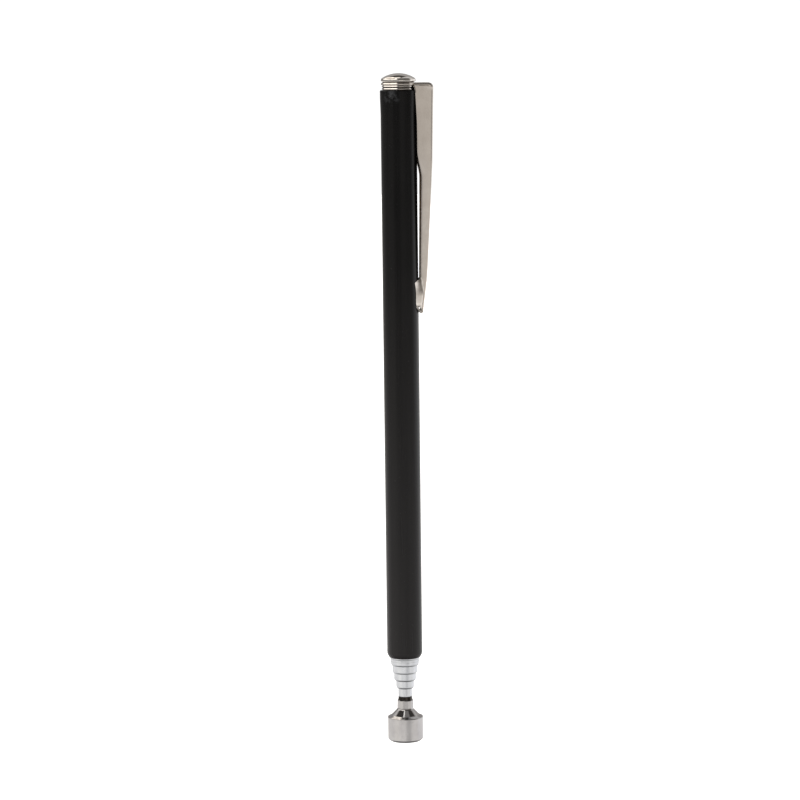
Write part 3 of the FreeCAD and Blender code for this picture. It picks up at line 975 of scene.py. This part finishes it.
def flare_share_at(height, reach, root):
    """Share of the wing's width outside the crease; reach and root are the wing's two edges."""
    down = (CREASE_HIGH - height) / (CREASE_HIGH - CREASE_LOW)
    crease = between(CREASE_HIGH_REACH, CREASE_LOW_REACH, down)
    return min(max((crease - reach) / (root - reach), PLAIN_FLARE), MOST_FLARE)


def foot_rows():
    """The foot: the wings flare into flaps that hug the handle."""
    rows = []
    for web_height, edge_reach, edge_height in FLAP_EDGE:
        height = web_height * MM
        reach = edge_reach * MM
        web, normal = web_at(height)
        fold = fold_radius_at(height)
        flare_share = flare_share_at(height, reach, web.x - fold)
        rows.append(winged_row(web, normal, along_line(WIDTH_LINE, height), fold,
                               (reach, edge_height * MM), sheet_at(height), flare_share,
                               HANDLE_CLEARANCE, WING_CROWN))
    return rows


def toe_rows():
    """The toe bend and the bottom flap that slopes up to the handle."""
    rows = []
    for height in (TOE_ABOVE, TOE_START):
        web, normal = web_at(height)
        rows.append(stub_row(web, normal, TOE_HALF_WIDTH, TOE_FOLD, TOE_SHEET))
    # The bend goes on from the normal at the toe's start.
    start_angle = math.atan2(normal.z, normal.x)
    end_angle = -math.pi / 2 - TOE_SLOPE
    centre = Vector((TOE.x - math.cos(start_angle) * TOE_BEND, 0, TOE.y))
    for step in range(TOE_STEPS + 1):
        share = step / TOE_STEPS
        angle = between(start_angle, end_angle, share)
        normal = Vector((math.cos(angle), 0, math.sin(angle)))
        half_width = between(TOE_HALF_WIDTH, BOTTOM_HALF_WIDTH, share)
        bend_end = centre + normal * TOE_BEND
        rows.append(stub_row(bend_end, normal, half_width, TOE_FOLD, TOE_SHEET))
    slope = Vector((-math.cos(TOE_SLOPE), 0, math.sin(TOE_SLOPE)))
    length = (bend_end.x - BOTTOM_REACH) / math.cos(TOE_SLOPE)
    for share in BOTTOM_SHARES:
        half_width = between(BOTTOM_HALF_WIDTH, FLAP_HALF_WIDTH, share ** 2)
        web = bend_end + slope * length * share
        outer, inner = stub_row(web, normal, half_width, TOE_FOLD, TOE_SHEET)
        if share == 1.0:
            outer, inner = pinched(outer, inner)
        for point in outer + inner:
            hug = math.sqrt(BOTTOM_REACH ** 2 - point.y ** 2)
            point += slope * (BOTTOM_REACH - hug) * share / math.cos(TOE_SLOPE)
        rows.append((outer, inner))
    return rows


def make_clip_arm():
    """Pressed clip: plate, bend, web with wings, flared foot and bottom flap, in one sheet."""
    rows = plate_rows() + bend_rows() + wing_rows() + foot_rows() + toe_rows()
    width = len(rows[0][0])
    loop = 2 * width
    vertices = []
    for outer, inner in rows:
        vertices.extend(tuple(point) for point in outer + inner[::-1])
    faces = []
    for first in range(0, (len(rows) - 1) * loop, loop):
        for place in range(loop):
            beside = (place + 1) % loop
            faces.append([first + place, first + beside,
                          first + loop + beside, first + loop + place])
    for first in (0, (len(rows) - 1) * loop):
        last = first + loop - 1
        for place in range(width - 1):
            faces.append([first + place, first + place + 1, last - place - 1, last - place])
    arm = make_piece("folded_clip", vertices, faces, clip_nickel)
    stand_in(arm, "clip_arm")


# ---------------------------------------------------------------- hidden pieces

def finish_hidden_pieces():
    """Plugs and sleeves stay as they are in the CAD, with a better finish."""
    finishes = {"end_plug": plug_brass}
    for number in range(1, SECTIONS + 1):
        finishes["stop_plug_%d" % number] = plug_brass
        finishes["friction_sleeve_%d" % number] = sleeve_bronze
    for node, material in finishes.items():
        for material_slot in frame["nodes"][node].material_slots:
            material_slot.material = material


# ---------------------------------------------------------------- camera and floor

CAMERA_AZIMUTH = math.radians(-7.5)
CAMERA_ELEVATION = math.radians(7.0)
CAMERA_DISTANCE = 0.565
CAMERA_LENS = 131.3
CAMERA_ROLL = math.radians(-0.66)
CAMERA_SHIFT_X = -0.0025
CAMERA_SHIFT_Y = 0.0137
FLOOR_SIZE = 12.0


def away_from_tool(azimuth, elevation):
    """Direction from the tool; azimuth 0 is towards -Y."""
    return Vector((math.sin(azimuth) * math.cos(elevation),
                   -math.cos(azimuth) * math.cos(elevation),
                   math.sin(elevation)))


def make_camera():
    """A long lens at the height and side that the tool is looked at from."""
    data = bpy.data.cameras.new("camera")
    data.lens = CAMERA_LENS
    data.clip_start = 0.01
    data.clip_end = 100.0
    data.shift_x = CAMERA_SHIFT_X
    data.shift_y = CAMERA_SHIFT_Y
    camera = bpy.data.objects.new("camera", data)
    back = away_from_tool(CAMERA_AZIMUTH, CAMERA_ELEVATION)
    target = Vector((0, 0, (cad_low.z + cad_high.z) / 2))
    camera.location = target + back * CAMERA_DISTANCE
    level = (-back).to_track_quat("-Z", "Y").to_matrix().to_4x4()
    rolled = level @ Matrix.Rotation(CAMERA_ROLL, 4, "Z")
    camera.rotation_mode = "QUATERNION"
    camera.rotation_quaternion = rolled.to_quaternion()
    bpy.context.scene.collection.objects.link(camera)
    bpy.context.scene.camera = camera


def slide_reach():
    """How far the head comes down when every section is pulled out."""
    slides = [joint for joint in frame["joints"] if joint["name"].startswith("section_slide")]
    return sum(joint["range_m"][1] for joint in slides)


def make_floor():
    """A plain pale floor, where the head stands when the tool is fully pulled out."""
    height = cad_low.z - slide_reach()
    corners = []
    for x, y in ((-1, -1), (1, -1), (1, 1), (-1, 1)):
        corners.append((x * FLOOR_SIZE, y * FLOOR_SIZE, height))
    mesh = bpy.data.meshes.new("floor")
    mesh.from_pydata(corners, [], [(0, 1, 2, 3)])
    floor = bpy.data.objects.new("floor", mesh)
    material = new_material("pale_floor", {
        "Base Color": (0.9, 0.9, 0.9, 1.0), "Roughness": 0.9,
        "Emission Color": (1.0, 1.0, 1.0, 1.0), "Emission Strength": 1.0})[0]
    floor.data.materials.append(material)
    floor.visible_glossy = False
    bpy.context.scene.collection.objects.link(floor)


# ---------------------------------------------------------------- studio light

# Elevation in degrees and colour: a white table below, grey walls and a dark ceiling.
WALLS = (
    (-90, (0.20, 0.20, 0.20)),
    (-60, (0.24, 0.24, 0.24)),
    (-48, (0.34, 0.34, 0.33)),
    (-36, (0.80, 0.79, 0.78)),
    (-18, (1.05, 1.04, 1.03)),
    (-10.5, (1.12, 1.10, 1.08)),
    (-8, (0.75, 0.73, 0.70)),
    (-5.5, (0.54, 0.52, 0.495)),
    (-2, (0.40, 0.385, 0.37)),
    (10, (0.40, 0.39, 0.38)),
    (43, (0.42, 0.41, 0.41)),
    (46, (0.07, 0.065, 0.06)),
    (90, (0.05, 0.05, 0.05)),
)

LENS_LIGHT = (2.2, 2.06, 1.87)
RIM_LIGHT = (0.75, 0.74, 0.73)
CAP_GREY = (0.66, 0.66, 0.66)

# Middle azimuth from the camera's, middle elevation, half width, half height and softness, all
# in degrees, and colour. A later panel lies over an earlier one. An upright round piece mirrors
# the panels near the horizon, the lowest pieces the ones about 14 degrees below it.
PANELS = (
    # bright right rim of every upright piece
    (120, -2, 33, 15, 11, (1.20, 1.20, 1.22)),
    # dark left side and dark middle of the tube's upper part
    (-100, 6, 50, 9, 3, (0.20, 0.20, 0.20)),
    (-14, 0, 20, 9, 4, (0.27, 0.265, 0.26)),
    # what the clip's near wing mirrors, high and low
    (18, 1, 12, 3.2, 2, (0.62, 0.585, 0.54)),
    (25, -5.5, 7, 4, 4, (0.62, 0.59, 0.55)),
    # dark right half of the rings
    (65, 21, 23, 24, 5, (0.17, 0.16, 0.15)),
    # bright left and grey right of the head's cup
    (-58, -17, 18, 8, 14, (1.25, 1.23, 1.18)),
    (22, -15, 16, 7, 12, (0.72, 0.715, 0.71)),
    # light left and right edges of the cone and the cap
    (-120, 32, 24, 9, 6, RIM_LIGHT),
    (116, 32, 24, 9, 6, RIM_LIGHT),
    # the bright shape in the cap's left half, and on the cone's lower edge
    (-172, 71, 20, 9, 3, (1.3, 1.24, 1.16)),
    (-143, 62, 20, 9, 3, LENS_LIGHT),
    (-145, 46, 12, 9, 3, LENS_LIGHT),
    # the grey shape in the cap's right half
    (140, 62, 22, 9, 3, CAP_GREY),
    (147, 44, 14, 10, 3, CAP_GREY),
    # bright left and dark right of the slanted rings below the cap
    (-38, 42, 27, 15, 5, (1.9, 1.83, 1.72)),
    (24, 30, 26, 17, 5, (0.10, 0.095, 0.09)),
    (-92, 25, 32, 12, 5, (1.7, 1.64, 1.55)),
)

# A narrow overhead strip, along the view. Its place across is the X part of the direction.
STRIP_ACROSS = -0.14
STRIP_HALF_WIDTH = 0.045
STRIP_SOFTNESS = 0.02
STRIP_COLOUR = (1.9, 1.9, 1.85)
STRIP_LOW = math.radians(66)
STRIP_FULL = math.radians(70)

BACKDROP_STRENGTH = 1.1

SOFTBOX_AZIMUTH = math.radians(20)
SOFTBOX_ELEVATION = math.radians(80)
SOFTBOX_DISTANCE = 1.6
SOFTBOX_SIZE = 0.9
SOFTBOX_BRIGHTNESS = 0.25
SOFTBOX_COLOUR = (1.0, 0.99, 0.97)


def faded(tree, offset, half_width, softness):
    """1 while the offset is within the half width and 0 outside it, with soft edges."""
    away = calculate(tree, "ABSOLUTE", offset)
    return add_node(tree, "ShaderNodeMapRange", {"interpolation_type": "SMOOTHSTEP"}, {
        "Value": away, "From Min": half_width - softness, "From Max": half_width + softness,
        "To Min": 1.0, "To Max": 0.0,
    }).outputs["Result"]


def band_mask(tree, angle, middle, half_width, softness):
    """A soft-edged band of angles; the sizes are in degrees."""
    offset = calculate(tree, "SUBTRACT", angle, math.radians(middle))
    turned = add_node(tree, "ShaderNodeMath", {"operation": "WRAP"}, {
        0: offset, 1: math.pi, 2: -math.pi}).outputs["Value"]
    return faded(tree, turned, math.radians(half_width), math.radians(softness))


def wall_colours(tree, elevation):
    """The colours of the walls, blended by elevation."""
    share = remap(tree, elevation, -math.pi / 2, math.pi / 2)
    ramp = add_node(tree, "ShaderNodeValToRGB", {}, {"Fac": share})
    elements = ramp.color_ramp.elements
    while len(elements) < len(WALLS):
        elements.new(0.5)
    for element, (stop, colour) in zip(elements, WALLS):
        element.position = (stop + 90) / 180
        element.color = (*colour, 1.0)
    return ramp.outputs["Color"]


def overhead_strip(tree, across, elevation):
    """1 on the overhead strip and 0 beside it and below it."""
    high = remap(tree, elevation, STRIP_LOW, STRIP_FULL)
    offset = calculate(tree, "SUBTRACT", across, STRIP_ACROSS)
    return calculate(tree, "MULTIPLY", high,
                     faded(tree, offset, STRIP_HALF_WIDTH, STRIP_SOFTNESS))


def make_world():
    """Studio surroundings: walls, light panels and the strip, and a white backdrop behind."""
    world = bpy.data.worlds.new("studio")
    world.use_nodes = True
    tree = world.node_tree
    tree.nodes.clear()
    around = add_node(tree, "ShaderNodeTexCoord").outputs["Generated"]
    direction = add_node(tree, "ShaderNodeVectorRotate", {"rotation_type": "Z_AXIS"}, {
        "Vector": around, "Angle": -CAMERA_AZIMUTH}).outputs["Vector"]
    parts = split(tree, direction)
    elevation = calculate(tree, "ARCSINE", parts["Z"])
    towards_front = calculate(tree, "MULTIPLY", parts["Y"], -1.0)
    azimuth = calculate(tree, "ARCTAN2", parts["X"], towards_front)
    colour = wall_colours(tree, elevation)
    for middle_azimuth, middle_elevation, half_width, half_height, softness, shade in PANELS:
        across = band_mask(tree, azimuth, middle_azimuth, half_width, softness)
        up = band_mask(tree, elevation, middle_elevation, half_height, softness)
        colour = blend_colours(tree, calculate(tree, "MULTIPLY", across, up), colour, shade)
    strip = overhead_strip(tree, parts["X"], elevation)
    colour = blend_colours(tree, strip, colour, STRIP_COLOUR)
    seen = add_node(tree, "ShaderNodeBackground", {}, {
        "Color": (1, 1, 1, 1), "Strength": BACKDROP_STRENGTH})
    lit = add_node(tree, "ShaderNodeBackground", {}, {"Color": colour})
    ray = add_node(tree, "ShaderNodeLightPath").outputs["Is Camera Ray"]
    mix = add_node(tree, "ShaderNodeMixShader", {}, {
        0: ray, 1: lit.outputs["Background"], 2: seen.outputs["Background"]})
    add_node(tree, "ShaderNodeOutputWorld", {}, {"Surface": mix.outputs["Shader"]})
    bpy.context.scene.world = world


def make_softbox():
    """A square soft light overhead, as bright in a mirror as its brightness says."""
    data = bpy.data.lights.new("overhead_softbox", "AREA")
    data.shape = "SQUARE"
    data.size = SOFTBOX_SIZE
    data.color = SOFTBOX_COLOUR
    data.energy = SOFTBOX_BRIGHTNESS * math.pi * SOFTBOX_SIZE ** 2
    light = bpy.data.objects.new("overhead_softbox", data)
    away = away_from_tool(SOFTBOX_AZIMUTH, SOFTBOX_ELEVATION)
    light.location = (cad_low + cad_high) / 2 + away * SOFTBOX_DISTANCE
    light.rotation_mode = "QUATERNION"
    light.rotation_quaternion = (-away).to_track_quat("-Z", "Y")
    light.visible_camera = False
    bpy.context.scene.collection.objects.link(light)


# ---------------------------------------------------------------- whole scene

make_camera()
make_handle_tube()
make_mouth_bush()
make_end_ferrule()
make_clip_ring()
make_clip_arm()
make_top_cap()
for section_number in range(1, SECTIONS + 1):
    make_section(section_number)
make_magnet_holder()
make_magnet()
finish_hidden_pieces()
make_floor()
make_world()
make_softbox()
bpy.context.scene.view_settings.view_transform = "Standard"
